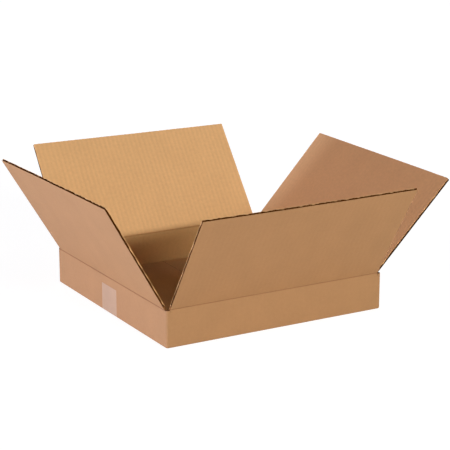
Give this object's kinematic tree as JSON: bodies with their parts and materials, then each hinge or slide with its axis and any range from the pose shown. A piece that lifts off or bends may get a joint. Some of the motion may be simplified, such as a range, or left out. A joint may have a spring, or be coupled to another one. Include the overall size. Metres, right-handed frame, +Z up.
{
  "type": "shallow corrugated cardboard box",
  "caption": "Shallow square box of brown corrugated board, set up, with its four hinged top flaps open and a taped base.",
  "frame": {"origin": "centre of the underside, on the flat face that the box rests on", "axes": "+Z up out of the open top, -Y out of the front wall, -X out of the left wall, which shows the end of the tape"},
  "size_m": [0.5844, 0.5611, 0.2118],
  "materials": {
    "wall_board": "matte",
    "flap_board": "matte",
    "packing_tape": "satin"
  },
  "bodies": {
    "body": {"box_body": "wall_board", "bottom_tape": "packing_tape"},
    "front_flap": {"front_flap": "flap_board"},
    "right_flap": {"right_flap": "flap_board"},
    "back_flap": {"back_flap": "flap_board"},
    "left_flap": {"left_flap": "flap_board"}
  },
  "joints": [
    {"name": "front_fold", "type": "hinge", "parent": "body", "child": "front_flap", "pos_m": [0, -0.1788, 0.0577], "axis": [-1, 0, 0], "range_deg": [-74.6, 122.4]},
    {"name": "right_fold", "type": "hinge", "parent": "body", "child": "right_flap", "pos_m": [0.1813, 0, 0.056], "axis": [0, -1, 0], "range_deg": [-61.8, 135.2]},
    {"name": "back_fold", "type": "hinge", "parent": "body", "child": "back_flap", "pos_m": [0, 0.1788, 0.0577], "axis": [1, 0, 0], "range_deg": [-69, 125.6]},
    {"name": "left_fold", "type": "hinge", "parent": "body", "child": "left_flap", "pos_m": [-0.1813, 0, 0.056], "axis": [0, 1, 0], "range_deg": [-75.8, 121.2]}
  ]
}
